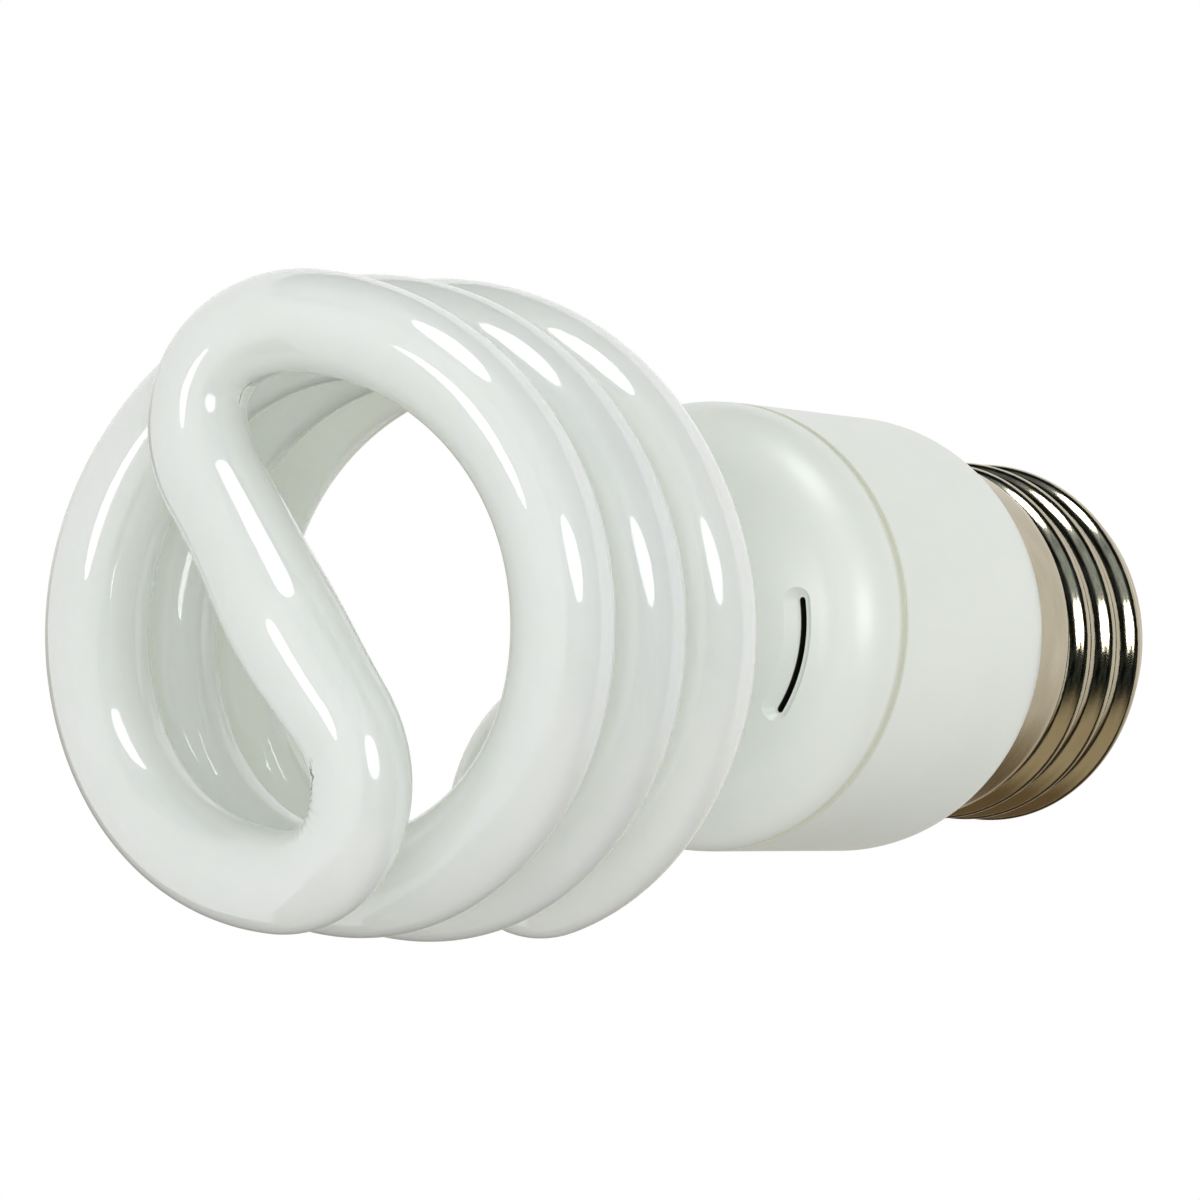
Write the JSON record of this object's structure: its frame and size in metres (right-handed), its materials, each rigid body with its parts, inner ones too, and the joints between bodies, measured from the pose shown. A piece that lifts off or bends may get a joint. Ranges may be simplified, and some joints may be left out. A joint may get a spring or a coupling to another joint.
{
  "type": "compact fluorescent lamp",
  "caption": "Spiral compact fluorescent lamp: a white coiled glass tube with a bridge across its tip, on a white plastic housing with vent slots and a screw base.",
  "frame": {"origin": "the lowest point of the centre contact's solder, on the lamp's axis", "axes": "+Z along the lamp's axis, from the base contact to the tip of the coil; +X and +Y across it"},
  "size_m": [0.0458, 0.0456, 0.1056],
  "materials": {
    "phosphor_glass": "clear glass tube over a white inner coating, glossy",
    "housing_plastic": "white moulded plastic, half gloss",
    "nickel_plate": "bright nickel plate with a warm tint",
    "black_glass": "black glass, glossy",
    "brass": "rolled brass",
    "solder": "dull tin solder",
    "board_laminate": "tan paper laminate",
    "white_cement": "matt white cement",
    "lead_wire": "tinned wire",
    "capacitor_sleeve": "dark blue shrink sleeve",
    "ferrite": "dark grey ferrite",
    "bobbin_plastic": "black nylon",
    "copper_wire": "enamelled copper",
    "film_capacitor_resin": "dark red dipped resin",
    "black_epoxy": "moulded epoxy",
    "green_lacquer": "green lacquer",
    "tan_lacquer": "tan lacquer",
    "blue_lacquer": "blue lacquer",
    "wire_insulation": "white insulation"
  },
  "bodies": {
    "root": {"base_insulator": "black_glass", "base_resistor_high": "tan_lacquer", "base_resistor_low": "tan_lacquer", "bridge_diode_a": "black_epoxy", "bridge_diode_b": "black_epoxy", "bridge_diode_c": "black_epoxy", "bridge_diode_d": "black_epoxy", "centre_contact": "brass", "choke_bobbin": "bobbin_plastic", "choke_core": "ferrite", "choke_winding": "copper_wire", "circuit_board": "board_laminate", "contact_solder": "solder", "discharge_tube": "phosphor_glass", "drive_toroid": "ferrite", "drive_winding": "copper_wire", "electrode_lead_a": "lead_wire", "electrode_lead_b": "lead_wire", "electrode_lead_c": "lead_wire", "electrode_lead_d": "lead_wire", "electrolytic_capacitor": "capacitor_sleeve", "filter_capacitor": "film_capacitor_resin", "filter_inductor": "green_lacquer", "fuse_resistor": "green_lacquer", "leg_cement_a": "white_cement", "leg_cement_b": "white_cement", "live_wire": "wire_insulation", "lower_housing": "housing_plastic", "neutral_wire": "wire_insulation", "preheat_thermistor": "black_epoxy", "resonance_capacitor": "film_capacitor_resin", "screw_shell": "nickel_plate", "transistor_high": "black_epoxy", "transistor_low": "black_epoxy", "trigger_diac": "blue_lacquer", "upper_housing": "housing_plastic", "wrap_pin_a": "brass", "wrap_pin_b": "brass", "wrap_pin_c": "brass", "wrap_pin_d": "brass"}
  },
  "joints": []
}
